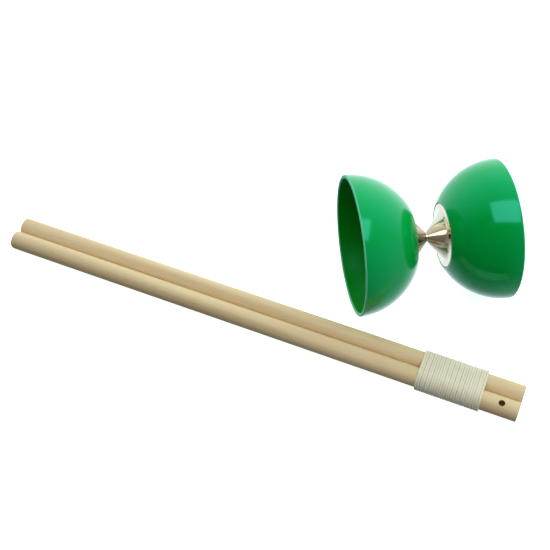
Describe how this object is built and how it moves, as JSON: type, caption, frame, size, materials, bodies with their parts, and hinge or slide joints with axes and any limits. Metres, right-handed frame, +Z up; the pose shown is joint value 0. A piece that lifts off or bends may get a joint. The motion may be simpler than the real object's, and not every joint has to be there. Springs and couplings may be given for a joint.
{
  "type": "diabolo",
  "caption": "Juggling spool of bowl-shaped cups clamped on a waisted metal axle, with round wooden hand sticks bound together by their string.",
  "frame": {"origin": "on the surface that the set lies on, under the middle of the box round the spool and the two sticks", "axes": "+Z up; +X along the spool's axle, out of its right-hand cup; +Y away from the side on which the stick ends with the wound string lie"},
  "size_m": [0.3107, 0.2012, 0.088],
  "materials": {
    "green_plastic": "glossy moulded plastic, emerald green",
    "nickel_steel": "polished warm nickel plate with fine turning marks",
    "zinc_steel": "bright zinc plate",
    "pale_beech": "sanded, unlacquered pale beech with a straight grain",
    "cotton_string": "natural twisted cotton"
  },
  "bodies": {
    "sticks": {"hand_stick_rear": "pale_beech", "string_winding": "cotton_string"},
    "front_stick": {"hand_stick_front": "pale_beech"},
    "spool": {"axle_rod": "nickel_steel", "cup_left": "green_plastic", "cup_right": "green_plastic", "hub_left": "nickel_steel", "hub_right": "nickel_steel", "clamp_washer_left": "zinc_steel", "clamp_washer_right": "zinc_steel", "spring_washer_left": "zinc_steel", "spring_washer_right": "zinc_steel", "lock_nut_left": "zinc_steel", "lock_nut_right": "zinc_steel"}
  },
  "joints": [
    {"name": "spool_spin", "type": "hinge", "parent": "sticks", "child": "spool", "pos_m": [0.10778, 0.01436, 0.044], "axis": [1, 0, 0], "continuous": true},
    {"name": "front_stick_slide", "type": "slide", "parent": "sticks", "child": "front_stick", "axis": [0.8499, -0.5269, 0.0055], "range_m": [-0.022, 0.281]}
  ]
}
